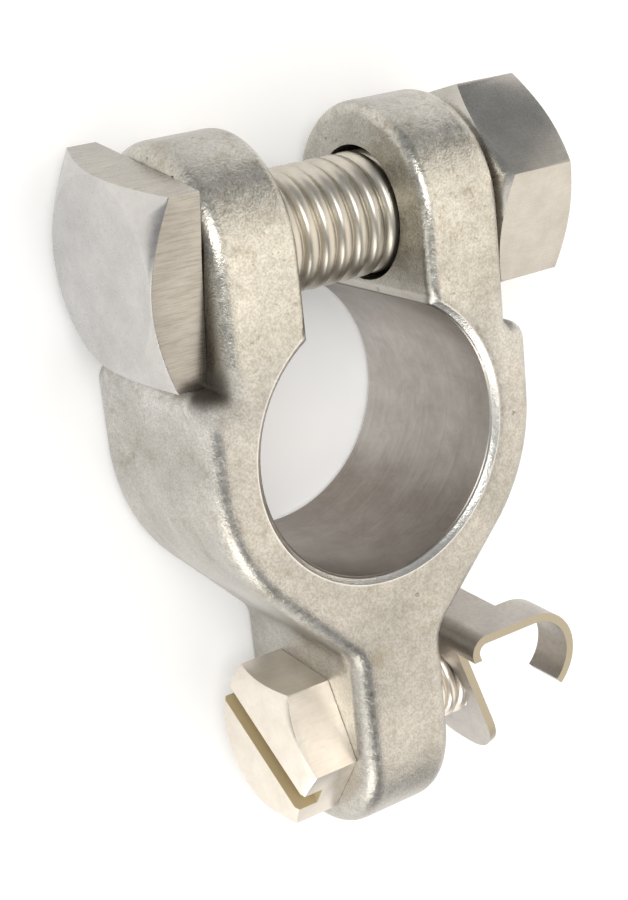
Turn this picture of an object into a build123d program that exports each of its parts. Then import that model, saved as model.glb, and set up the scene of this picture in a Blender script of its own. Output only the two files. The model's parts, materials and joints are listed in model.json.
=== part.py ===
"""Battery terminal clamp: a split cast ring that a cross bolt closes on a battery post,
with a flat tail that holds the cable under a bent sheet saddle.

Frame: the origin is the centre of the post bore at the flat back face. +Z runs along the
bore, away from that face. +X runs along the clamping bolt, from its head to its nut.
+Y points from the bore to the ears. All sizes are millimetres.
"""
from build123d import *
from math import acos, atan2, cos, degrees, hypot, radians, sin, tan
import os

# --- casting ---------------------------------------------------------------
casting_depth = 14.2        # back face to front face, along the bore
post_bore_diameter = 17.7   # mean size of a positive post's taper
bore_rim_chamfer = 0.45
ring_wall = 3.5             # bore wall to the outside of the ring
slot_width = 9.2            # gap between the two ears
ear_thickness = 6.2
head_ledge_gap = 0.05       # square head's lowest corner to the ledge that stops it turning
nut_ledge_gap = 0.2         # the turning nut's corners to the ledge on its side
ear_root_radius = 0.2       # inner corner between ear and ledge
bolt_axis_height = 12.7     # bore axis to bolt axis
bolt_hole_clearance = 0.4   # between the bolt and the ear holes, radial
tail_thickness = 7.0
tail_root_drop = 14.2       # bore axis to where the ring runs into the tail
tail_root_radius = 2.2
screw_axis_drop = 21.3      # bore axis to cable screw axis
screw_hole_clearance = 0.3  # between the screw and the hole in the tail, radial
outer_edge_radius = 1.3     # cast rounding of every outer edge
slot_edge_radius = 0.8      # cast rounding of the slot's edges

# --- clamping bolt and nut ---------------------------------------------------
bolt_diameter = 8.0
bolt_length = 30.0          # under the head
bolt_head_across_flats = 12.0
bolt_head_height = 3.5
bolt_head_turn = 9.0        # degrees about the bolt axis, from flats level and upright
bolt_tip_chamfer = 0.9
bolt_thread_pitch = 1.25
groove_depth = 0.65         # thread groove below the crests
groove_angle = 60.0         # between the two flanks of a thread
first_groove = 6.18         # under the head, the first turn that shows past the left ear
shown_turns = 9             # turns that show between the ears
nut_across_flats = 13.0
nut_height = 6.5
nut_turn = 16.0             # degrees about the bolt axis
thread_clearance = 0.06     # between a shank and its threaded part, radial
head_face_diameter = 11.8   # flat circle left by the chamfer of bolt head and nut
corner_chamfer_angle = 30.0

# --- cable screw ---------------------------------------------------------------
screw_diameter = 6.0
screw_length = 12.4         # under the head
screw_head_across_flats = 9.8
screw_head_height = 3.8
screw_head_turn = 34.0      # degrees about the screw axis
screw_face_diameter = 9.3   # flat circle left by the chamfer of the screw head
screw_tip_chamfer = 0.6
drive_slot_width = 1.6
drive_slot_depth = 1.6

# --- cable saddle ------------------------------------------------------------
sheet_thickness = 0.6
saddle_width = 12.2         # flange, along the bore direction
saddle_turn = 3.0           # degrees about the screw axis
web_gap = 4.5               # tail face to the web's middle, at the screw axis
web_lean = 20.0             # degrees that the web leans towards the tail at its top
web_end = 6.4               # screw axis to the web's lower edge
web_width = 8.4
web_corner_radius = 3.6
fold_radius = 0.9           # middle radius of the fold between web and flange
flange_height = 5.2         # screw axis to the middle of the flange
flange_reach = 7.2          # tail face to the flange's outer edge
prong_bend_radius = 3.2     # middle radius of the curled prong
prong_reach = 8.2           # tail face to the centre of the prong bend
prong_width = 3.0
prong_sweep = 138.0         # degrees that the prong curls round its bend

# --- sizes that follow ---------------------------------------------------------
mid_depth = casting_depth / 2
bore_radius = post_bore_diameter / 2
ring_radius = bore_radius + ring_wall
slot_half = slot_width / 2
ear_outer = slot_half + ear_thickness
tail_half = tail_thickness / 2
ear_top = bolt_axis_height + mid_depth
tail_end = screw_axis_drop + mid_depth
bolt_radius = bolt_diameter / 2
screw_radius = screw_diameter / 2
head_corner_radius = bolt_head_across_flats / 2 / cos(radians(45))
nut_corner_radius = nut_across_flats / 2 / cos(radians(30))
head_ledge = bolt_axis_height - head_corner_radius * cos(radians(45 - bolt_head_turn)) - head_ledge_gap
nut_ledge = bolt_axis_height - nut_corner_radius - nut_ledge_gap


def along_x(x, y, turn=0.0):
    """A seat at mid depth that faces +X; its own X and Y are the frame's Y and Z before the turn."""
    return Plane(origin=(x, y, mid_depth), x_dir=(0, 1, 0), z_dir=(1, 0, 0)).location * Rot(0, 0, turn)


def side_line(ledge):
    """The right-hand outline from the ear's top to the tail's end, with its ledge at one height."""
    root_distance = hypot(tail_half, tail_root_drop)
    tangent_angle = atan2(-tail_root_drop, tail_half) + acos(ring_radius / root_distance)
    tangent_point = (ring_radius * cos(tangent_angle), ring_radius * sin(tangent_angle))
    ear_and_ledge = Polyline(
        (0, ear_top), (ear_outer, ear_top), (ear_outer, ledge), (ring_radius, ledge), (ring_radius, 0)
    )
    ring = CenterArc((0, 0), ring_radius, 0, degrees(tangent_angle))
    tail = Polyline(tangent_point, (tail_half, -tail_root_drop), (tail_half, -tail_end), (0, -tail_end))
    return ear_and_ledge + ring + tail


def casting_outline():
    """The front view of the casting; the ledges stand under the bolt head and under the nut."""
    left_side = mirror(side_line(head_ledge), about=Plane.YZ)
    outline = make_face(side_line(nut_ledge) + left_side)
    ear_roots = at_height(outline.vertices(), -ear_outer, head_ledge)
    ear_roots += at_height(outline.vertices(), ear_outer, nut_ledge)
    outline = fillet(ear_roots, ear_root_radius)
    tail_roots = at_height(outline.vertices(), tail_half, -tail_root_drop)
    tail_roots += at_height(outline.vertices(), -tail_half, -tail_root_drop)
    return fillet(tail_roots, tail_root_radius)


def at_height(shapes, x, y):
    """The corners or edges whose centre has this X and Y."""
    return shapes.filter_by(lambda s: abs(s.center().X - x) < 1e-4 and abs(s.center().Y - y) < 1e-4)


def round_ended_blank(outline):
    """The outline at full depth, with ears and tail rounded in side view about their holes."""
    side = SlotCenterToCenter(bolt_axis_height + screw_axis_drop, casting_depth)
    middle = (bolt_axis_height - screw_axis_drop) / 2
    side_view = extrude(along_x(0, middle) * side, ear_top, both=True)
    return extrude(outline, casting_depth) & side_view


def is_seam(edge):
    """True where a flat face runs smoothly into a round end, which is no corner to round."""
    y = edge.center().Y
    across = abs(edge.tangent_at(0).X) > 0.999
    return across and (abs(y - bolt_axis_height) < 1e-3 or abs(y + screw_axis_drop) < 1e-3)


def cast_clamp_body():
    """The split ring with its ears and tail, one casting."""
    body = round_ended_blank(casting_outline())
    upright = body.edges().filter_by(Axis.Z)
    outer_edges = [e for e in body.edges() - upright if not is_seam(e)]
    ledge_ends = at_height(upright, -ring_radius, head_ledge) + at_height(upright, ring_radius, nut_ledge)
    body = fillet(outer_edges + ledge_ends, outer_edge_radius)

    slot = Pos(0, ear_top, mid_depth) * Box(slot_width, 2 * ear_top, 2 * casting_depth)
    body -= slot
    slot_edges = [
        e for e in body.edges()
        if abs(abs(e.center().X) - slot_half) < 1e-4 and e.center().Y > 1e-3 and not e.is_closed
        and abs(e.tangent_at(0.5).X) < 1e-3
    ]
    body = fillet(slot_edges, slot_edge_radius)

    bore = Pos(0, 0, mid_depth) * Cylinder(bore_radius, casting_depth)
    rim = Cone(bore_radius + bore_rim_chamfer, bore_radius, bore_rim_chamfer)
    body -= bore
    body -= Pos(0, 0, bore_rim_chamfer / 2) * rim
    body -= Pos(0, 0, casting_depth - bore_rim_chamfer / 2) * Rot(180, 0, 0) * rim

    bolt_hole = Circle(bolt_radius + bolt_hole_clearance)
    body -= extrude(along_x(0, bolt_axis_height) * bolt_hole, ear_outer, both=True)
    screw_hole = Circle(screw_radius + screw_hole_clearance)
    body -= extrude(along_x(0, -screw_axis_drop) * screw_hole, tail_thickness, both=True)
    return body


def chamfered_prism(sides, across_flats, height, face_diameter, both_ends):
    """A nut or bolt head on the XY plane, its corners turned off by a cone at the top, or at both ends."""
    corner_radius = across_flats / 2 / cos(radians(180 / sides))
    drop = (corner_radius - face_diameter / 2) * tan(radians(corner_chamfer_angle))
    half_profile = [(corner_radius, height - drop), (face_diameter / 2, height), (0, height)]
    if both_ends:
        start = [(0, 0), (face_diameter / 2, 0), (corner_radius, drop)]
    else:
        start = [(0, 0), (corner_radius, 0)]
    profile = make_face(Polyline(*start, *half_profile, close=True))
    envelope = revolve(Plane.XZ * profile, Axis.Z)
    return extrude(RegularPolygon(corner_radius, sides), height) & envelope


def shank(radius, length, tip_chamfer):
    """A round shank from the XY plane upwards, with a turned lead at its tip."""
    rod = extrude(Circle(radius), length)
    return chamfer(rod.edges().sort_by(Axis.Z)[-1], tip_chamfer)


def thread_grooves(crest_radius):
    """A V-shaped ring for each turn of thread that shows between the ears."""
    root_radius = crest_radius - groove_depth
    half_width = 2 * groove_depth * tan(radians(groove_angle / 2))
    rim_radius = crest_radius + groove_depth
    tooth = Polygon((root_radius, 0), (rim_radius, half_width), (rim_radius, -half_width), align=None)
    places = [first_groove + turn * bolt_thread_pitch for turn in range(shown_turns)]
    return [revolve(Plane.XZ * Pos(0, place) * tooth, Axis.Z) for place in places]


def clamping_bolt():
    """Square-headed bolt: its head bears on the left ear, its tip stands past the nut."""
    head = chamfered_prism(4, bolt_head_across_flats, bolt_head_height, head_face_diameter, False)
    rod = shank(bolt_radius - thread_clearance, bolt_length, bolt_tip_chamfer)
    rod -= thread_grooves(bolt_radius - thread_clearance)
    seat = along_x(-ear_outer, bolt_axis_height, 45 + bolt_head_turn)
    return seat * (rod + Rot(180, 0, 0) * head)


def clamping_nut():
    """Hexagon nut bearing on the right ear."""
    nut = chamfered_prism(6, nut_across_flats, nut_height, head_face_diameter, True)
    nut -= extrude(Circle(bolt_radius), nut_height)
    return along_x(ear_outer, bolt_axis_height, nut_turn) * nut


def slotted_cable_screw():
    """Slotted hexagon screw: its head bears on the tail's left face."""
    head = chamfered_prism(6, screw_head_across_flats, screw_head_height, screw_face_diameter, False)
    slot = Box(drive_slot_width, 2 * screw_head_across_flats, drive_slot_depth)
    head -= Pos(0, 0, screw_head_height - drive_slot_depth / 2) * slot
    rod = shank(screw_radius - thread_clearance, screw_length, screw_tip_chamfer)
    seat = along_x(-tail_half, -screw_axis_drop, screw_head_turn)
    return seat * (rod + Rot(180, 0, 0) * head)


def saddle_strip():
    """The saddle's sheet in section: web, fold, flange, and the curl that becomes the prong.

    Drawn with the screw axis as height zero and the tail's right face as X zero.
    """
    lean = radians(web_lean)
    web_foot = (web_gap + web_end * sin(lean), -web_end * cos(lean))
    fold_x = web_gap - flange_height * tan(lean)
    with BuildLine() as path:
        FilletPolyline(web_foot, (fold_x, flange_height), (prong_reach, flange_height), radius=fold_radius)
        CenterArc(
            (prong_reach, flange_height - prong_bend_radius), prong_bend_radius, 90, -prong_sweep
        )
    return trace(path.line, sheet_thickness)


def cable_saddle_sheet():
    """One stamped and bent sheet: web with the screw's hole, wider flange, one curled prong."""
    sheet = extrude(saddle_strip(), saddle_width / 2, both=True)
    curl_height = 4 * prong_bend_radius + 2 * sheet_thickness
    beside_prong = Box(
        2 * prong_reach, curl_height, 2 * saddle_width, align=(Align.MIN, Align.CENTER, Align.MAX)
    )
    sheet -= Pos(flange_reach, flange_height, saddle_width / 2 - prong_width) * beside_prong
    web_foot_reach = web_gap + web_end * sin(radians(web_lean)) + sheet_thickness
    beside_web = Box(
        web_foot_reach, 4 * flange_height, saddle_width, align=(Align.MIN, Align.MAX, Align.MIN)
    )
    shoulder = flange_height - fold_radius - sheet_thickness
    sheet -= Pos(0, shoulder, web_width / 2) * beside_web
    sheet -= Pos(0, shoulder, -web_width / 2 - saddle_width) * beside_web
    low_corners = sheet.edges().sort_by(Axis.Y)
    sheet = fillet(web_end_corners(low_corners), web_corner_radius)
    sheet = Pos(tail_half, -screw_axis_drop, mid_depth) * Rot(saddle_turn, 0, 0) * sheet
    hole = Circle(screw_radius)
    return sheet - extrude(along_x(tail_half, -screw_axis_drop) * hole, prong_reach)


def web_end_corners(edges):
    """The two short edges through the sheet's thickness at the lower end of the web."""
    short = [e for e in edges if abs(e.length - sheet_thickness) < 1e-3 and abs(e.tangent_at(0.5).Z) < 1e-3]
    return short[:2]


pieces = {
    "clamp_body": cast_clamp_body,
    "clamp_bolt": clamping_bolt,
    "clamp_nut": clamping_nut,
    "cable_screw": slotted_cable_screw,
    "cable_saddle": cable_saddle_sheet,
}

os.makedirs("parts", exist_ok=True)
for name, make in pieces.items():
    export_step(make(), f"parts/{name}.step")
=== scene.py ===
# %% [markdown]
# # Battery terminal clamp
# A tin-plated brass casting grips a battery post. A square-headed bolt and a nut draw its ears
# together, and a slotted screw with a bent sheet saddle holds the cable on its tail. The packed
# CAD model is the frame: every size and place below comes from it or rests on it.

# %% Load the frame
import json
import math
import bpy
from mathutils import Matrix, Vector


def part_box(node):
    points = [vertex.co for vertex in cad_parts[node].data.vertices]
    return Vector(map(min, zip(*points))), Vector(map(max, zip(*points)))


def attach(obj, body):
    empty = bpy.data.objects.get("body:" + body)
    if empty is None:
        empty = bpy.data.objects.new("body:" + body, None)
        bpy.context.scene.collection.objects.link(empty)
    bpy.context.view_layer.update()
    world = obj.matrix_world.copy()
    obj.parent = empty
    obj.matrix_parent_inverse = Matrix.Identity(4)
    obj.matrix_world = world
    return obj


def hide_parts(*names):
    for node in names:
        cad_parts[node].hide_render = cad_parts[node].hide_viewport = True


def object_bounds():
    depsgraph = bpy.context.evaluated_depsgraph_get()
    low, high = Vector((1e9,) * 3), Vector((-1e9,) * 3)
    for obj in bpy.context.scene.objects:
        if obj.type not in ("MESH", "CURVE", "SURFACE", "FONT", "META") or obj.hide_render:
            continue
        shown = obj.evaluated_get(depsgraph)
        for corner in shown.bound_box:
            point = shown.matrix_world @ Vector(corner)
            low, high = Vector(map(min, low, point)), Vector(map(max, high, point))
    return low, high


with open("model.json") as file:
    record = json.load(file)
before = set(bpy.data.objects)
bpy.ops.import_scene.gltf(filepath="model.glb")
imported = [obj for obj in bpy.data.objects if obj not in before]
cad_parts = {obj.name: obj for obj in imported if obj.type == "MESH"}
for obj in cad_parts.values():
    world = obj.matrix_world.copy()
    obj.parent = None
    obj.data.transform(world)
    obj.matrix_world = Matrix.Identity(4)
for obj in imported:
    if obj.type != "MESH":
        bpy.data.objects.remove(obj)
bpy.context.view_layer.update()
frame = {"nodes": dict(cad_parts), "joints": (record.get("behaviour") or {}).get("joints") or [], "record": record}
MM = 0.001
nodes = frame["nodes"]
print("pieces from CAD:", sorted(nodes))

# %% [markdown]
# ## The camera
# It comes first, because every finish is judged through it. The clamp lies on its flat back, and
# the camera looks down on it from the side of the bolt head. Place and turn are in the frame's
# axes; the lens is the one that gives this perspective on Blender's 36 mm sensor.

# %% Place the camera
CAMERA_PLACE_MM = (-59.26, 34.91, 98.54)
CAMERA_TURN_DEGREES = (-14.954, -34.401, -6.940)
CAMERA_LENS_MM = 70.11

camera_data = bpy.data.cameras.new("camera")
camera_data.lens = CAMERA_LENS_MM
camera_data.sensor_width = 36.0
camera_data.clip_start = 1 * MM
camera = bpy.data.objects.new("camera", camera_data)
camera.location = Vector(CAMERA_PLACE_MM) * MM
camera.rotation_euler = [math.radians(angle) for angle in CAMERA_TURN_DEGREES]
bpy.context.scene.collection.objects.link(camera)
bpy.context.scene.camera = camera
print("camera at", tuple(round(value, 4) for value in camera.location))

# %% [markdown]
# ## Tools for materials
# A material is a tree of nodes. Each kind of node could have a helper of its own, but one
# function for all of them is easier to learn: it adds a node, sets its options, fills or links
# its inputs, and hands back one output. Colours are written as sRGB hex, as a paint chart gives
# them, and one function turns them into the linear numbers that shaders use.

# %% Colours
def linear(colour_hex):
    """An sRGB hex colour as linear red, green, blue and alpha."""
    channels = [int(colour_hex[start:start + 2], 16) / 255 for start in (1, 3, 5)]
    return tuple(c / 12.92 if c <= 0.04045 else ((c + 0.055) / 1.055) ** 2.4 for c in channels) + (1.0,)


print("mid grey #808080 is", round(linear("#808080")[0], 3), "in linear light")

# %% One function adds any node
def add_node(tree, kind, inputs=(), out=0, stops=(), **settings):
    """Adds a shader node and returns one of its outputs.

    Inputs are values, hex colours or other nodes' outputs, in order or by name. Stops are the
    places and hex colours of a colour ramp.
    """
    node = tree.nodes.new("ShaderNode" + kind)
    for name, value in settings.items():
        setattr(node, name, value)
    for index, (place, colour_hex) in enumerate(stops):
        element = node.color_ramp.elements[index] if index < 2 else node.color_ramp.elements.new(place)
        element.position = place
        element.color = linear(colour_hex)
    for key, value in inputs.items() if isinstance(inputs, dict) else enumerate(inputs):
        if isinstance(value, bpy.types.NodeSocket):
            tree.links.new(value, node.inputs[key])
        else:
            node.inputs[key].default_value = linear(value) if isinstance(value, str) else value
    return node.outputs[out]


print("node helper ready")

# %% [markdown]
# Two more helpers save repetition. A finish often holds only in one region, such as under the
# bolt head, so `zone` multiplies smooth steps into a mask that is 1 inside and 0 outside; a limit
# written with its larger number first falls instead of rising. Every metal here starts from the
# same shader: fully metallic, on the default index of refraction.

# %% Masks, metals and dressing a piece
def zone(tree, *limits):
    """1 where each value has passed its second limit, 0 before its first, smooth between."""
    steps = [add_node(tree, "MapRange", limit, interpolation_type="SMOOTHSTEP") for limit in limits]
    mask = steps[0]
    for step in steps[1:]:
        mask = add_node(tree, "Math", [mask, step], operation="MULTIPLY")
    return mask


def new_metal(name):
    """An empty metal: the material, its tree and its shader's inputs."""
    material = bpy.data.materials.new(name)
    material.use_nodes = True
    shader = material.node_tree.nodes["Principled BSDF"].inputs
    shader["Metallic"].default_value = 1.0
    return material, material.node_tree, shader


def dress(piece, material):
    """The piece shows one material all over."""
    piece.data.materials.clear()
    piece.data.materials.append(material)


print("material helpers ready")

# %% [markdown]
# ## Tin-plated casting
# The body is sand-cast brass under bright tin. Tin lies soft and satin over the casting's grain,
# so the eye sees a warm silver with cloudy patches, brown stains and small pits. An image of a
# real casting could be wrapped round it, but noise in the piece's own coordinates has no seams
# and keeps its size. Each pattern is named for what it stands for, with its real width in mm.

# %% Patterns of the cast skin
CLOUD_MM = 6.0      # patches where the tin lies thicker
STAIN_MM = 2.2      # brown stains
MOTTLE_MM = 0.65    # uneven tin
SPECK_MM = 0.45     # dark specks on the ears
GRAIN_MM = 0.14     # sand grain, drawn as coarse as it needs to show
PIT_SPACING_MM = 1.5

body_low, body_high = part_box("clamp_body")
bore_radius = frame["record"]["mounts"][0]["dims"]["r_mm"] * MM


def cast_patterns(tree, place):
    """The cast skin's clouds, stains, mottle, specks and grain, each from 0 to 1."""
    looks = {
        "clouds": (CLOUD_MM, 3.0, 0.55, 0.0), "stains": (STAIN_MM, 6.0, 0.75, 0.4),
        "mottle": (MOTTLE_MM, 5.0, 0.62, 0.5), "specks": (SPECK_MM, 4.0, 0.6, 0.0),
        "grain": (GRAIN_MM, 2.0, 0.55, 0.0),
    }
    return {
        name: add_node(tree, "TexNoise", {
            "Vector": place, "Scale": 1 / (size * MM), "Detail": detail, "Roughness": roughness,
            "Distortion": distortion
        })
        for name, (size, detail, roughness, distortion) in looks.items()
    }


print("casting", [round((high - low) / MM, 1) for low, high in zip(body_low, body_high)], "mm")

# %% [markdown]
# The skin's colour starts from the clouds and is darkened by mottle and grain. Below the bolt the
# skin is darker; the ears are warmer, with dark specks, and faces that point up carry painted
# shade. Stains lie over everything, as dirt does.

# %% Colour of the cast skin
def cast_skin(tree, pattern, y, upward):
    """Cloudy satin silver, darker towards the tail, warmer on the ears, with painted shade on faces that point up.
    """
    skin = add_node(tree, "ValToRGB", [pattern["clouds"]], stops=[(0.32, "#C8C8C7"), (0.66, "#E4E4E3")])
    unevenness = add_node(tree, "ValToRGB", [pattern["mottle"]], stops=[(0.30, "#BEBCB8"), (0.64, "#FFFFFF")])
    sand = add_node(tree, "ValToRGB", [pattern["grain"]], stops=[(0.38, "#ACA698"), (0.60, "#FFFFFF")])
    height = add_node(tree, "Math", [pattern["clouds"], CLOUD_MM * MM, y], operation="MULTIPLY_ADD")
    washes = [
        (0.40, unevenness), (0.36, sand),
        (zone(tree, (height, 11 * MM, 4 * MM)), "#E9E6E0"),     # darker below the bolt
        (zone(tree, (y, 3 * MM, 9 * MM)), "#FCF9F0"),           # warmer ears
        (zone(tree, (upward, 0.6, 0.95)), "#EDEDF1"),           # painted shade on faces that point up
    ]
    for strength, wash in washes:
        skin = add_node(
            tree, "Mix", {0: strength, 6: skin, 7: wash}, out=2, data_type="RGBA", blend_type="MULTIPLY"
        )
    stained = zone(tree, (pattern["stains"], 0.52, 0.72))
    specked = zone(tree, (pattern["specks"], 0.58, 0.70), (y, 2 * MM, 9 * MM))
    for mask, strength, dirt in ((stained, 0.65, "#938A78"), (specked, 0.55, "#8F8468")):
        cover = add_node(tree, "Math", [mask, strength], operation="MULTIPLY")
        skin = add_node(tree, "Mix", {0: cover, 6: skin, 7: dirt}, out=2, data_type="RGBA")
    return skin


print("cast skin ready")

# %% [markdown]
# Gas leaves small pits in a casting. A Voronoi texture scatters cells; a fifth of them hold a
# pit, and the grain makes its edge ragged.

# %% Pits
def casting_pits(tree, place, grain):
    """0 in a pit, 1 outside."""
    cells = add_node(tree, "TexVoronoi", {"Vector": place, "Scale": 1 / (PIT_SPACING_MM * MM)}).node.outputs
    luck = add_node(tree, "SeparateXYZ", [cells["Color"]])
    size = add_node(tree, "Math", [zone(tree, (luck, 0.80, 1.0)), 0.11], operation="MULTIPLY")
    ragged = add_node(tree, "Math", [grain, 0.10, cells["Distance"]], operation="MULTIPLY_ADD")
    from_pit = add_node(tree, "Math", [ragged, size], operation="SUBTRACT")
    return zone(tree, (from_pit, 0.02, 0.08))


print("a pit every", PIT_SPACING_MM, "mm at most")

# %% [markdown]
# The bore was reamed after casting, so it is smooth, darker and greyer, with turned lines round
# it, and each rim's chamfer has a painted highlight. The lines are noise that is drawn out along X
# and Y and stays narrow along Z, the bore's axis. Painted shade darkens the wall above and below
# its middle.

# %% Colour of the reamed bore
TURNED_LINE_MM = 0.20
TURNED_STRETCH = 40


def turned_lines(tree, place):
    """Fine lines round the bore."""
    scale = 1 / (TURNED_LINE_MM * MM)
    drawn_out = add_node(
        tree, "Mapping", {"Vector": place, "Scale": (scale / TURNED_STRETCH, scale / TURNED_STRETCH, scale)}
    )
    return add_node(
        tree, "TexNoise",
        {"Vector": drawn_out, "Scale": 1.0, "Detail": 2.0, "Roughness": 0.55, "Distortion": 0.0}
    )


def reamed_bore(tree, lines, stains, y):
    """Cool grey turned metal, with painted shade above and below the middle."""
    bore = add_node(tree, "ValToRGB", [lines], stops=[(0.20, "#BFBBB6"), (0.80, "#D0CCC7")])
    soot = add_node(tree, "ValToRGB", [stains], stops=[(0.35, "#FFFFFF"), (0.70, "#B9B0A6")])
    # painted shade: the wall is darker above and below its middle
    off_middle = zone(tree, (add_node(tree, "Math", [y], operation="ABSOLUTE"), 3.5 * MM, 7.5 * MM))
    for strength, wash in ((off_middle, "#C8C3BF"), (0.5, soot)):
        bore = add_node(
            tree, "Mix", {0: strength, 6: bore, 7: wash}, out=2, data_type="RGBA", blend_type="MULTIPLY"
        )
    return bore


print("bore radius", round(bore_radius / MM, 2), "mm")

# %% [markdown]
# Painted shade darkens the crevices where the bolt head and the nut meet the ledges. There the skin
# is nearly black brown, and it doesn't shine. Masks in the piece's own coordinates put the painted
# shade exactly there, and it stays there when the joints move.

# %% Painted shade at the ledges
# Along one axis of the casting, in mm: where each mask starts, and where it is full.
UNDER_HEAD_MM = [("X", -10.05, -10.75), ("Y", 4.5, 5.6), ("Z", 11.5, 12.5)]
UNDER_NUT_MM = [("X", 10.3, 10.7), ("Y", 5.6, 6.2), ("Z", 11.5, 12.5)]
CAKED_BY_HEAD_MM = [("X", -9.2, -10.2), ("Y", 3.4, 4.4), ("Y", 7.4, 6.4), ("Z", 11.5, 12.5)]


def crevice_shade_and_caked_patch(tree, axes):
    """The painted shade in the crevices under head and nut, and the wider patch by the head that doesn't shine."""
    under_head, under_nut, caked = [
        zone(tree, *[(axes[axis], start * MM, full * MM) for axis, start, full in limits])
        for limits in (UNDER_HEAD_MM, UNDER_NUT_MM, CAKED_BY_HEAD_MM)
    ]
    return add_node(tree, "Math", [under_head, under_nut], operation="MAXIMUM"), caked


print("grime ready")

# %% [markdown]
# Light shows what colour can't: the worn rim rolls over into the bore, the skin is uneven, pits
# are sunk and the bore has turned lines. Bump nodes stack these up, each with its real depth in
# mm. The shapes themselves stay those of the CAD mesh.

# %% Relief of the casting
def cast_relief(tree, pattern, pits, lines, cast, from_axis):
    """A worn rim, an uneven skin with sunken pits, and a turned bore."""
    in_bore = add_node(tree, "Math", [1.0, cast], operation="SUBTRACT")
    reliefs = [
        (zone(tree, (from_axis, bore_radius + 0.2 * MM, bore_radius + 1.1 * MM)), 0.16),
        (add_node(tree, "Math", [pattern["mottle"], cast], operation="MULTIPLY"), 0.045),
        (add_node(tree, "Math", [pattern["grain"], cast], operation="MULTIPLY"), 0.022),
        (add_node(tree, "Math", [pits, in_bore], operation="MAXIMUM"), 0.04),
        (add_node(tree, "Math", [lines, in_bore], operation="MULTIPLY"), 0.005),
    ]
    surface = {}
    for height, depth_mm in reliefs:
        surface = {"Normal": add_node(tree, "Bump", {"Height": height, "Distance": depth_mm * MM} | surface)}
    return surface["Normal"]


print("relief ready")

# %% [markdown]
# Here the casting comes together in the order in which it was made: cast skin, then the reamed
# bore, then the worn rim between them with its painted highlight, and painted shade in the
# crevices last. The body is one piece, and the distance from the bore's axis tells which finish a
# point has, so one material serves it all.

# %% Material of the casting
def tinned_casting():
    """Cast brass, tin plated: satin warm silver with grain, pits and stains, and a reamed bore."""
    material, tree, shader = new_metal("tinned_cast_brass")
    place = add_node(tree, "TexCoord", out="Object")
    upward = add_node(tree, "SeparateXYZ", [add_node(tree, "TexCoord", out="Normal")], out="Y")
    axes = add_node(tree, "SeparateXYZ", [place]).node.outputs
    across = add_node(tree, "CombineXYZ", [axes["X"], axes["Y"]])
    from_axis = add_node(tree, "VectorMath", [across], out="Value", operation="LENGTH")
    cast = zone(tree, (from_axis, bore_radius + 0.05 * MM, bore_radius + 0.15 * MM))

    pattern = cast_patterns(tree, place)
    pits = casting_pits(tree, place, pattern["grain"])
    lines = turned_lines(tree, place)
    skin = cast_skin(tree, pattern, axes["Y"], upward)
    skin = add_node(tree, "Mix", {0: pits, 6: "#A39B8C", 7: skin}, out=2, data_type="RGBA")
    bore = reamed_bore(tree, lines, pattern["stains"], axes["Y"])
    skin = add_node(tree, "Mix", {0: cast, 6: bore, 7: skin}, out=2, data_type="RGBA")

    # a painted highlight on the worn rim round the bore
    rim = zone(
        tree, (from_axis, bore_radius + 0.05 * MM, bore_radius + 0.15 * MM),
        (from_axis, bore_radius + 0.62 * MM, bore_radius + 0.42 * MM)
    )
    # painted shade: nearly black brown in the crevices under the head and the nut
    crevice_shade, caked = crevice_shade_and_caked_patch(tree, axes)
    for mask, strength, colour in ((rim, 0.55, "#FFFDF8"), (crevice_shade, 0.85, "#4A4236")):
        cover = add_node(tree, "Math", [mask, strength], operation="MULTIPLY")
        skin = add_node(tree, "Mix", {0: cover, 6: skin, 7: colour}, out=2, data_type="RGBA")
    tree.links.new(skin, shader["Base Color"])

    satin = add_node(tree, "Math", [pattern["mottle"], 0.30, 0.19], operation="MULTIPLY_ADD")
    bore_gloss = add_node(tree, "Math", [lines, 0.12, 0.30], operation="MULTIPLY_ADD")
    gloss = add_node(tree, "Mix", {0: cast, 2: bore_gloss, 3: satin}, data_type="FLOAT")
    gloss = add_node(tree, "Math", [caked, 0.35, gloss], operation="MULTIPLY_ADD")
    tree.links.new(gloss, shader["Roughness"])
    relief = cast_relief(tree, pattern, pits, lines, cast, from_axis)
    tree.links.new(relief, shader["Normal"])
    return material


dress(nodes["clamp_body"], tinned_casting())
print("casting finished")

# %% [markdown]
# ## Drawn and plated steel
# Bolt, nut and screw are cut from drawn bar, so fine lines run along the bar on every side, while
# the end faces look evenly dull. Stretching noise along X, the bar's length, draws those lines.
# The zinc over them is faintly cloudy. One recipe serves all; only the colours change.

# %% Drawn steel
DRAWN_LINE_MM = 0.11    # drawn as coarse as it needs to show
DRAWN_STRETCH = 14
ZINC_CLOUD_MM = 2.4
ZINC_SPECKLE_MM = 0.35


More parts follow.
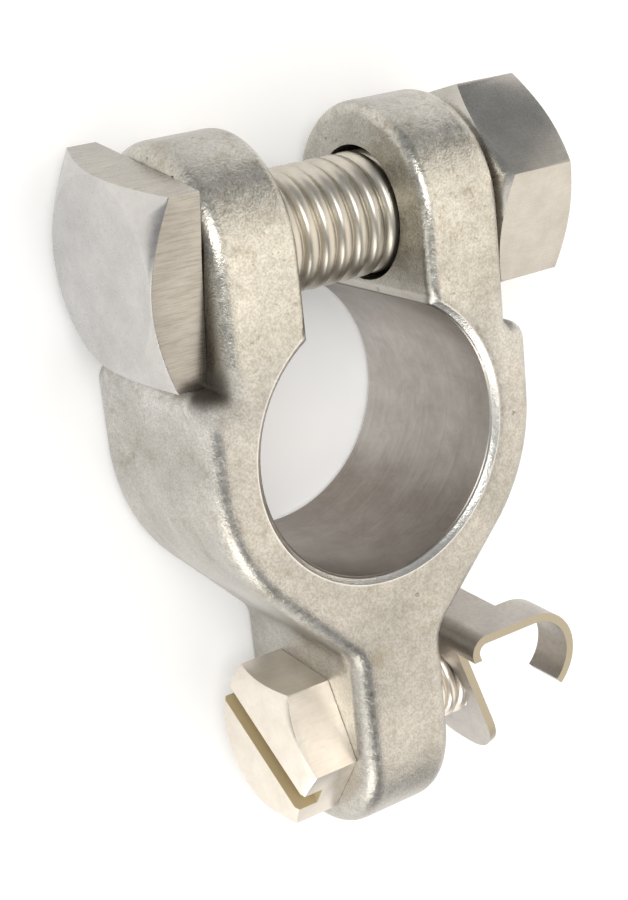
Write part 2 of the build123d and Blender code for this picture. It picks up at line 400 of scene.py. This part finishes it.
def drawn_steel(name, dark, light, dullness, line_strength):
    """Zinc-plated drawn steel; returns the material, its tree, its shader's inputs and its sides' mask."""
    material, tree, shader = new_metal(name)
    place = add_node(tree, "TexCoord", out="Object")
    facing = add_node(tree, "SeparateXYZ", [add_node(tree, "TexCoord", out="Normal")], out="X")
    end_on = add_node(tree, "Math", [facing], operation="ABSOLUTE")
    on_side = add_node(tree, "Math", [end_on, 0.3], operation="LESS_THAN")
    scale = 1 / (DRAWN_LINE_MM * MM)
    drawn_out = add_node(tree, "Mapping", {"Vector": place, "Scale": (scale / DRAWN_STRETCH, scale, scale)})
    lines, cloud, speckle = [
        add_node(tree, "TexNoise", {
            "Vector": where, "Scale": pattern_scale, "Detail": detail, "Roughness": roughness,
            "Distortion": 0.0
        })
        for where, pattern_scale, detail, roughness in (
            (drawn_out, 1.0, 2.0, 0.55),
            (place, 1 / (ZINC_CLOUD_MM * MM), 3.0, 0.55),
            (place, 1 / (ZINC_SPECKLE_MM * MM), 3.0, 0.6),
        )
    ]
    streaks = add_node(tree, "ValToRGB", [lines], stops=[(0.32, "#A8A196"), (0.58, "#FFFFFF")])
    spots = add_node(tree, "ValToRGB", [speckle], stops=[(0.35, "#B8B4AC"), (0.60, "#FFFFFF")])
    streak_strength = add_node(tree, "Math", [on_side, line_strength], operation="MULTIPLY")
    colour = add_node(tree, "ValToRGB", [cloud], stops=[(0.30, dark), (0.70, light)])
    for strength, wash in ((streak_strength, streaks), (0.08, spots)):
        colour = add_node(
            tree, "Mix", {0: strength, 6: colour, 7: wash}, out=2, data_type="RGBA", blend_type="MULTIPLY"
        )
    tree.links.new(colour, shader["Base Color"])
    gloss = add_node(tree, "Math", [speckle, 0.06, dullness], operation="MULTIPLY_ADD")
    tree.links.new(gloss, shader["Roughness"])
    drawn = add_node(tree, "Math", [lines, on_side], operation="MULTIPLY")
    surface = add_node(tree, "Bump", {"Height": drawn, "Distance": 0.012 * line_strength * MM})
    surface = add_node(tree, "Bump", {"Height": speckle, "Distance": 0.0015 * MM, "Normal": surface})
    tree.links.new(surface, shader["Normal"])
    return material, tree, shader, on_side


print("steel recipe ready")

# %% [markdown]
# ## Threads
# The CAD shanks have ring grooves or none. A real thread is a groove wound round the shank, so
# it is made the way a lathe makes it: one tooth's outline is swept round the axis while it moves
# on by the pitch. Blender's Screw modifier does that sweep. The crests are rounded, as a rolled
# thread's are. A bump texture would be quicker, but the outline of the rod would stay straight.
#
# Operators act on all that is selected, so everything is deselected before a new piece starts.

# %% Selecting and placing pieces
def start_fresh():
    """Nothing is selected and nothing is active."""
    bpy.ops.object.select_all(action="DESELECT")
    bpy.context.view_layer.objects.active = None


def make_active(piece):
    """Only this piece is selected, and operators work on it."""
    start_fresh()
    piece.select_set(True)
    bpy.context.view_layer.objects.active = piece


def place_in_mesh(piece):
    """Moves a piece's place, turn and size into its mesh, so its object sits at the origin."""
    make_active(piece)
    bpy.ops.object.transform_apply(location=True, rotation=True, scale=True)


def cut(piece, tool, operation):
    """Cuts a piece by a tool, and puts the tool away."""
    make_active(piece)
    boolean = piece.modifiers.new("cut", "BOOLEAN")
    boolean.operation = operation
    boolean.object = tool
    bpy.ops.object.modifier_apply(modifier="cut")
    bpy.data.objects.remove(tool)


print("modelling helpers ready")

# %% Wind a thread
# Steps along the axis and outwards, in pitches: root, flank, rounded crest, flank.
TOOTH_STEPS = [(0.08, 0), (0.14, 0.25), (0.17, 0.09), (0.30, 0), (0.17, -0.09), (0.14, -0.25)]
TOOTH_DEPTH = 0.34
STEPS_A_TURN = 48
WELD = 0.001 * MM       # points closer than this are one


def wound_thread(name, crest_radius, pitch, turns):
    """An open thread surface up the Z axis, from one extruded outline."""
    start_fresh()
    bpy.ops.mesh.primitive_plane_add(size=pitch, location=(0, 0, 0))
    rod = bpy.context.active_object
    rod.name = name
    bpy.ops.object.mode_set(mode="EDIT")
    bpy.ops.mesh.select_all(action="SELECT")
    bpy.ops.mesh.merge(type="CENTER")
    bpy.ops.transform.translate(value=(0, crest_radius - TOOTH_DEPTH * pitch, 0))
    for along, outward in TOOTH_STEPS:
        step = (0, outward * pitch, along * pitch)
        bpy.ops.mesh.extrude_region_move(TRANSFORM_OT_translate={"value": step})
    bpy.ops.object.mode_set(mode="OBJECT")
    make_active(rod)
    winding = rod.modifiers.new("winding", "SCREW")
    winding.screw_offset = pitch
    winding.iterations = turns
    winding.steps = STEPS_A_TURN
    winding.render_steps = STEPS_A_TURN
    winding.use_merge_vertices = True
    winding.merge_threshold = WELD
    bpy.ops.object.modifier_apply(modifier="winding")
    return rod


print("one tooth steps", round(sum(along for along, outward in TOOTH_STEPS), 3), "pitch along the axis")

# %% [markdown]
# The wound surface is open at both ends. Two planes bisect it and close it with flat faces; they
# lie between its corner points, because a plane that runs through a point leaves a hole. The tip
# is chamfered by keeping only what lies inside a bevelled cylinder.

# %% Cut the rod to length and turn its tip
FIRST_CUT_TURNS = 2.37      # between two corner points, past the thread's run-in
SPARE_TURNS = 4
ROUND_SIDES = 96            # enough corners to look round
CREST_ROOM = 0.01 * MM      # the tip's cylinder clears the crests
THREAD_SMOOTH_DEGREES = 40


def cut_to_length(rod, first_cut, length):
    """Two flat, closed ends."""
    bpy.ops.object.mode_set(mode="EDIT")
    bpy.ops.mesh.select_all(action="SELECT")
    bpy.ops.mesh.remove_doubles(threshold=2 * WELD)
    for height, outer in ((first_cut, False), (first_cut + length, True)):
        bpy.ops.mesh.select_all(action="SELECT")
        bpy.ops.mesh.bisect(
            plane_co=(0, 0, height), plane_no=(0, 0, 1), use_fill=True, clear_inner=not outer,
            clear_outer=outer, threshold=WELD / 10
        )
    bpy.ops.mesh.select_all(action="SELECT")
    bpy.ops.mesh.normals_make_consistent(inside=False)
    bpy.ops.object.mode_set(mode="OBJECT")


def bevelled_cylinder(radius, depth, middle, chamfer):
    """A cylinder up the Z axis with its top edge turned off."""
    start_fresh()
    bpy.ops.mesh.primitive_cylinder_add(
        vertices=ROUND_SIDES, radius=radius, depth=depth, location=(0, 0, middle)
    )
    cylinder = bpy.context.active_object
    bpy.ops.object.mode_set(mode="EDIT")
    bpy.ops.mesh.select_all(action="DESELECT")
    bpy.ops.object.mode_set(mode="OBJECT")
    for edge in cylinder.data.edges:
        edge.select = all(cylinder.data.vertices[corner].co.z > 0 for corner in edge.vertices)
    bpy.ops.object.mode_set(mode="EDIT")
    bpy.ops.mesh.bevel(offset=chamfer, segments=1, affect="EDGES")
    bpy.ops.object.mode_set(mode="OBJECT")
    return cylinder


def threaded_rod(name, start, length, diameter, pitch, tip_chamfer):
    """A threaded rod along +X from a start point; all sizes in metres."""
    first_cut = FIRST_CUT_TURNS * pitch
    rod = wound_thread(name, diameter / 2, pitch, int(length / pitch) + SPARE_TURNS)
    cut_to_length(rod, first_cut, length)
    lead = bevelled_cylinder(diameter / 2 + CREST_ROOM, 2 * length, first_cut, tip_chamfer)
    cut(rod, lead, "INTERSECT")
    rod.location = Vector(start) - Vector((first_cut, 0, 0))
    rod.rotation_euler = (0, math.radians(90), 0)
    place_in_mesh(rod)
    bpy.ops.object.shade_smooth_by_angle(angle=math.radians(THREAD_SMOOTH_DEGREES))
    print(name, len(rod.data.polygons), "faces")
    return rod


print("thread builder ready")

# %% [markdown]
# ## Heads and nut
# A bolt head starts as a prism of bar. The lathe then turns its corners off with a shallow cone,
# which leaves a round flat face and a curved line on every side. The same two steps make it here:
# a prism cut by a cone. Its edges are then broken with a narrow bevel, as plating and handling
# leave them, because a perfectly sharp edge catches no light.

# %% Where the axes and corners are
def joint_spot(joint_name):
    """Where a joint's axis starts, in metres."""
    return next(joint["pos_m"] for joint in frame["joints"] if joint["name"] == joint_name)


def corner_of(node_name, axis_y, axis_z):
    """Distance and angle about the axis of the CAD piece's farthest corner."""
    points = [vertex.co for vertex in nodes[node_name].data.vertices]
    far = max(points, key=lambda point: math.hypot(point.y - axis_y, point.z - axis_z))
    return math.hypot(far.y - axis_y, far.z - axis_z), math.atan2(far.z - axis_z, far.y - axis_y)


bolt_x, bolt_y, bolt_z = joint_spot("nut_turn")
screw_x, screw_y, screw_z = joint_spot("screw_turn")
print("bolt axis at", round(bolt_y / MM, 2), round(bolt_z / MM, 2), "mm")

# %% Prism with turned corners
CORNER_CONE_DEGREES = 30
CONE_SIDES = 160
EDGE_BREAK = 0.13 * MM
REAL_EDGE_DEGREES = 20      # a flatter edge is part of a round
THROUGH = 20 * MM           # a tool this long cuts right through a head or a nut


def turning_cone(face_x, inner_x, axis_y, axis_z, face_radius):
    """The cone that a lathe leaves: narrow at the outer face, wider inwards."""
    reach = 1.5 * abs(inner_x - face_x)
    direction = 1 if inner_x > face_x else -1
    start_fresh()
    bpy.ops.mesh.primitive_cone_add(
        vertices=CONE_SIDES, radius1=face_radius + reach / math.tan(math.radians(CORNER_CONE_DEGREES)),
        radius2=face_radius, depth=reach,
        location=(face_x + direction * reach / 2, axis_y, axis_z),
        rotation=(0, math.radians(-90 * direction), 0)
    )
    return bpy.context.active_object


def turned_prism(name, sides, low_x, high_x, axis_y, axis_z, corner, cones):
    """A prism along X whose corners are turned off at the faces given by cones."""
    radius, angle = corner
    start_fresh()
    turn = Matrix.Rotation(angle, 4, "X") @ Matrix.Rotation(math.radians(90), 4, "Y")
    bpy.ops.mesh.primitive_cylinder_add(
        vertices=sides, radius=radius, depth=high_x - low_x,
        location=((low_x + high_x) / 2, axis_y, axis_z), rotation=turn.to_euler()
    )
    prism = bpy.context.active_object
    prism.name = name
    place_in_mesh(prism)
    for face_x, inner_x, face_radius in cones:
        cut(prism, turning_cone(face_x, inner_x, axis_y, axis_z, face_radius), "INTERSECT")
    return prism


def break_edges(piece):
    """A narrow round on every real edge."""
    make_active(piece)
    edge_break = piece.modifiers.new("edge_break", "BEVEL")
    edge_break.width = EDGE_BREAK
    edge_break.segments = 2
    edge_break.limit_method = "ANGLE"
    edge_break.angle_limit = math.radians(REAL_EDGE_DEGREES)
    edge_break.use_clamp_overlap = True
    bpy.ops.object.modifier_apply(modifier="edge_break")
    bpy.ops.object.shade_smooth_by_angle(angle=math.radians(REAL_EDGE_DEGREES))


print("edges broken by", round(EDGE_BREAK / MM, 2), "mm")

# %% [markdown]
# A finished piece takes the place of its CAD node, and rides on the same body when the joints
# move. Head and shank are one forging, so they are joined into one object first.

# %% Join and hand over
def join_rod(head, rod):
    """Head and threaded shank become one piece."""
    start_fresh()
    rod.select_set(True)
    head.select_set(True)
    bpy.context.view_layer.objects.active = head
    bpy.ops.object.join()


def stand_for(piece, node_name, body):
    """The finished piece takes a CAD node's place and its body."""
    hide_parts(node_name)
    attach(piece, body)
    low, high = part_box(node_name)
    print(piece.name, len(piece.data.polygons), "faces, CAD length", round((high[0] - low[0]) / MM, 2), "mm")


print("ready to build", len(nodes) - 2, "pieces")

# %% [markdown]
# ## The clamping bolt
# A square head, so that the ledge below it can keep it from turning while the nut is tightened.
# Zinc gives it a light cool grey; the sides of the head are darker and warmer than its turned face.
# The thread was rolled after drawing, so it has no lines and a softer shine.

# %% Steel of the bolt
def bolt_head_steel(sides_end):
    """Bright zinc on drawn steel, its head's sides a touch darker and warmer."""
    material, tree, shader, on_side = drawn_steel("bright_zinc_bolt_steel", "#BAB8B6", "#C7C5C3", 0.25, 0.35)
    along = add_node(tree, "SeparateXYZ", [add_node(tree, "TexCoord", out="Object")], out="X")
    on_head = add_node(tree, "Math", [along, sides_end], operation="LESS_THAN")
    warm = add_node(tree, "Math", [on_side, on_head], operation="MULTIPLY")
    colour = shader["Base Color"].links[0].from_socket
    colour = add_node(
        tree, "Mix", {0: warm, 6: colour, 7: "#E9E6DF"}, out=2, data_type="RGBA", blend_type="MULTIPLY"
    )
    tree.links.new(colour, shader["Base Color"])
    return material


rolled_thread = drawn_steel("rolled_thread_steel", "#BFBAAF", "#D2CCC0", 0.33, 0.0)[0]
print("bolt steel ready")

# %% Square-headed bolt
HEAD_FACE_RADIUS = 5.9 * MM
BOLT_DIAMETER = 8.0 * MM
BOLT_PITCH = 1.25 * MM
BOLT_TIP_CHAMFER = 0.9 * MM
ROD_OVERLAP = 0.05 * MM     # the shank starts this far inside the head

bolt_low, bolt_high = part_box("clamp_bolt")
bolt = turned_prism(
    "square_head_bolt", 4, bolt_low[0], -bolt_x, bolt_y, bolt_z, corner_of("clamp_bolt", bolt_y, bolt_z),
    [(bolt_low[0], -bolt_x, HEAD_FACE_RADIUS)]
)
break_edges(bolt)
bolt_thread = threaded_rod(
    "bolt_thread", (-bolt_x - ROD_OVERLAP, bolt_y, bolt_z), bolt_high[0] + bolt_x + ROD_OVERLAP,
    BOLT_DIAMETER, BOLT_PITCH, BOLT_TIP_CHAMFER
)
dress(bolt, bolt_head_steel(-bolt_x))
dress(bolt_thread, rolled_thread)
join_rod(bolt, bolt_thread)
stand_for(bolt, "clamp_bolt", "bolt")

# %% [markdown]
# ## The clamping nut
# A plain hexagon nut, turned off on both faces, with the bolt's end standing out of it. It is
# darker than the bolt, and almost without lines.

# %% Hexagon nut
nut_low, nut_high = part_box("clamp_nut")
nut = turned_prism(
    "hexagon_nut", 6, nut_low[0], nut_high[0], bolt_y, bolt_z, corner_of("clamp_nut", bolt_y, bolt_z),
    [(nut_low[0], nut_high[0], HEAD_FACE_RADIUS), (nut_high[0], nut_low[0], HEAD_FACE_RADIUS)]
)
start_fresh()
bpy.ops.mesh.primitive_cylinder_add(
    vertices=ROUND_SIDES, radius=BOLT_DIAMETER / 2, depth=THROUGH, location=(nut_high[0], bolt_y, bolt_z),
    rotation=(0, math.radians(90), 0)
)
cut(nut, bpy.context.active_object, "DIFFERENCE")
break_edges(nut)
dress(nut, drawn_steel("bright_zinc_nut_steel", "#B4B1AA", "#C4C0BA", 0.24, 0.06)[0])
stand_for(nut, "clamp_nut", "nut")

# %% [markdown]
# ## The cable screw
# A hexagon head with a slot across it, so that it takes a spanner or a screwdriver. The slot was
# sawn after the corners were turned, so the prism is turned first and cut by a bar last. Its zinc
# is yellower than the bolt's. Flux and dirt have dulled the slot to a flat tan, so there the
# metal is mixed out of the shader.

# %% Steel of the screw
SLOT_MARGIN = 1.02      # the tan reaches just past the slot's sides and floor


def slotted_screw_steel(slot_angle, slot_width, slot_floor):
    """Yellowish zinc on drawn steel, with a dull tan slot."""
    material, tree, shader = drawn_steel("yellow_zinc_screw_steel", "#E2DACE", "#EFE8DD", 0.30, 0.08)[:3]
    place = add_node(tree, "TexCoord", out="Object")
    from_screw = add_node(tree, "VectorMath", [place, (0, screw_y, screw_z)], operation="SUBTRACT")
    across = (0, math.cos(slot_angle), math.sin(slot_angle))
    distance = add_node(tree, "VectorMath", [from_screw, across], out="Value", operation="DOT_PRODUCT")
    apart = add_node(tree, "Math", [distance], operation="ABSOLUTE")
    along = add_node(tree, "SeparateXYZ", [place], out="X")
    between = add_node(tree, "Math", [apart, SLOT_MARGIN * slot_width / 2], operation="LESS_THAN")
    above = add_node(tree, "Math", [along, slot_floor], operation="LESS_THAN")
    in_slot = add_node(tree, "Math", [between, above], operation="MULTIPLY")
    colour = shader["Base Color"].links[0].from_socket
    colour = add_node(tree, "Mix", {0: in_slot, 6: colour, 7: "#BBAB88"}, out=2, data_type="RGBA")
    tree.links.new(colour, shader["Base Color"])
    bare = add_node(tree, "Math", [in_slot, -0.9, 1.0], operation="MULTIPLY_ADD")
    tree.links.new(bare, shader["Metallic"])
    return material


print("screw steel ready")

# %% Slotted hexagon screw
SCREW_FACE_RADIUS = 4.65 * MM
SCREW_DIAMETER = 6.0 * MM
SCREW_PITCH = 1.0 * MM
SCREW_TIP_CHAMFER = 0.6 * MM
SLOT_WIDTH = 1.6 * MM
SLOT_DEPTH = 1.6 * MM

screw_low, screw_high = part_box("cable_screw")
screw_corner = corner_of("cable_screw", screw_y, screw_z)
screw = turned_prism(
    "slotted_screw", 6, screw_low[0], screw_x, screw_y, screw_z, screw_corner,
    [(screw_low[0], screw_x, SCREW_FACE_RADIUS)]
)
start_fresh()
bpy.ops.mesh.primitive_cube_add(
    size=1, location=(screw_low[0], screw_y, screw_z),
    scale=(2 * SLOT_DEPTH, SLOT_WIDTH, THROUGH), rotation=(screw_corner[1], 0, 0)
)
cut(screw, bpy.context.active_object, "DIFFERENCE")
break_edges(screw)
screw_thread = threaded_rod(
    "screw_thread", (screw_x - ROD_OVERLAP, screw_y, screw_z), screw_high[0] - screw_x + ROD_OVERLAP,
    SCREW_DIAMETER, SCREW_PITCH, SCREW_TIP_CHAMFER
)
screw_steel = slotted_screw_steel(screw_corner[1], SLOT_WIDTH, screw_low[0] + SLOT_MARGIN * SLOT_DEPTH)
dress(screw, screw_steel)
dress(screw_thread, screw_steel)
join_rod(screw, screw_thread)
stand_for(screw, "cable_screw", "screw")

# %% [markdown]
# ## The cable saddle
# It was stamped from sheet, bent, and plated. Its broad faces are a grey rolled surface, and the
# sheared edges are a little yellow and duller, because the plating is thin there. The edges are
# found by their direction: they face along Z, and the broad faces don't.

# %% Material of the saddle
SHEET_CLOUD_MM = 2.0
SHEET_SPECKLE_MM = 0.3
ROLLED_LINE_MM = 0.1
ROLLED_STRETCH = 30


def plated_sheet():
    """Rolled, stamped and zinc-plated sheet: grey broad faces, yellowish sheared edges."""
    material, tree, shader = new_metal("plated_saddle_sheet")
    place = add_node(tree, "TexCoord", out="Object")
    facing = add_node(tree, "SeparateXYZ", [add_node(tree, "TexCoord", out="Normal")], out="Z")
    scale = 1 / (ROLLED_LINE_MM * MM)
    drawn_out = add_node(tree, "Mapping", {"Vector": place, "Scale": (scale, scale, scale / ROLLED_STRETCH)})
    lines, cloud, speckle = [
        add_node(tree, "TexNoise", {
            "Vector": where, "Scale": pattern_scale, "Detail": detail, "Roughness": 0.55, "Distortion": 0.0
        })
        for where, pattern_scale, detail in (
            (drawn_out, 1.0, 2.0),
            (place, 1 / (SHEET_CLOUD_MM * MM), 4.0),
            (place, 1 / (SHEET_SPECKLE_MM * MM), 3.0),
        )
    ]
    colour = add_node(
        tree, "ValToRGB", [cloud], stops=[(0.25, "#B4B0AC"), (0.55, "#C1BDB9"), (0.80, "#C9C3B6")]
    )
    spots = add_node(tree, "ValToRGB", [speckle], stops=[(0.35, "#B4AE9E"), (0.60, "#FFFFFF")])
    colour = add_node(
        tree, "Mix", {0: 0.2, 6: colour, 7: spots}, out=2, data_type="RGBA", blend_type="MULTIPLY"
    )
    sheared = zone(tree, (add_node(tree, "Math", [facing], operation="ABSOLUTE"), 0.75, 0.95))
    colour = add_node(tree, "Mix", {0: sheared, 6: colour, 7: "#ADA592"}, out=2, data_type="RGBA")
    tree.links.new(colour, shader["Base Color"])
    gloss = add_node(tree, "Math", [speckle, 0.08, 0.38], operation="MULTIPLY_ADD")
    tree.links.new(gloss, shader["Roughness"])
    tree.links.new(add_node(tree, "Bump", {"Height": lines, "Distance": 0.005 * MM}), shader["Normal"])
    return material


dress(nodes["cable_saddle"], plated_sheet())
print("saddle finished")

# %% [markdown]
# ## Floor and light
# A plain pale floor carries the clamp. Metal shows what it mirrors, so the light is mostly one
# large bright region of the sky to the right, which the front faces mirror, against a grey rest
# that keeps the tops dark. The left faces mirror the floor, so the floor glows faintly. Two
# lamps at the left draw the bright strips on the rounded edges, and one overhead fills in.

# %% Floor
FLOOR_SIZE = 4.0
FLOOR_GAP = 0.01 * MM       # so floor and clamp never share a plane
part_low, part_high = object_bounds()
start_fresh()
bpy.ops.mesh.primitive_plane_add(size=FLOOR_SIZE, location=(0, 0, part_low[2] - FLOOR_GAP))
floor = bpy.context.active_object
floor.name = "floor"
floor_paint = bpy.data.materials.new("pale_floor")
floor_paint.use_nodes = True
floor_shader = floor_paint.node_tree.nodes["Principled BSDF"].inputs
floor_shader["Base Color"].default_value = linear("#EDEDED")
floor_shader["Emission Color"].default_value = linear("#FFFFFF")
floor_shader["Emission Strength"].default_value = 0.22
floor_shader["Roughness"].default_value = 0.9
dress(floor, floor_paint)
print("floor at", round(part_low[2] / MM, 2), "mm, under a part", round(part_high[2] / MM, 2), "mm high")

# %% Lamps
LAMP_SIZE = 200 * MM


def soft_lamp(name, direction, distance_mm, power, colour_hex):
    """A square lamp that faces the clamp from one direction."""
    light = bpy.data.lights.new(name, "AREA")
    light.shape = "SQUARE"
    light.size = LAMP_SIZE
    light.energy = power
    light.color = linear(colour_hex)[:3]
    lamp = bpy.data.objects.new(name, light)
    lamp.location = Vector(direction).normalized() * distance_mm * MM
    lamp.rotation_euler = Vector(direction).to_track_quat("Z", "Y").to_euler()
    bpy.context.scene.collection.objects.link(lamp)
    print(name, power, "W")


soft_lamp("left_lamp", (-0.90, -0.32, 0.30), 420, 0.18, "#FFFCF6")
soft_lamp("low_lamp", (-0.55, -0.78, 0.34), 400, 0.50, "#FFFCF6")
soft_lamp("fill_lamp", (-0.40, 0.36, 0.84), 420, 0.85, "#FFFDFA")

# %% Sky
BRIGHT_SIDE = Vector((0.75, -0.15, 0.65)).normalized()

sky = bpy.data.worlds.new("pale_sky")
sky.use_nodes = True
background = sky.node_tree.nodes["Background"].inputs
direction = add_node(sky.node_tree, "TexCoord", out="Generated")
toward_light = add_node(
    sky.node_tree, "VectorMath", [direction, BRIGHT_SIDE], out="Value", operation="DOT_PRODUCT"
)
glow = zone(sky.node_tree, (toward_light, 0.50, 0.84))
tone = add_node(sky.node_tree, "ValToRGB", [glow], stops=[(0.0, "#7E8083"), (1.0, "#FFF8EE")])
sky.node_tree.links.new(tone, background["Color"])
background["Strength"].default_value = 1.45
bpy.context.scene.world = sky
bpy.context.scene.view_settings.view_transform = "Standard"
print("sky brightest towards", tuple(round(value, 2) for value in BRIGHT_SIDE))
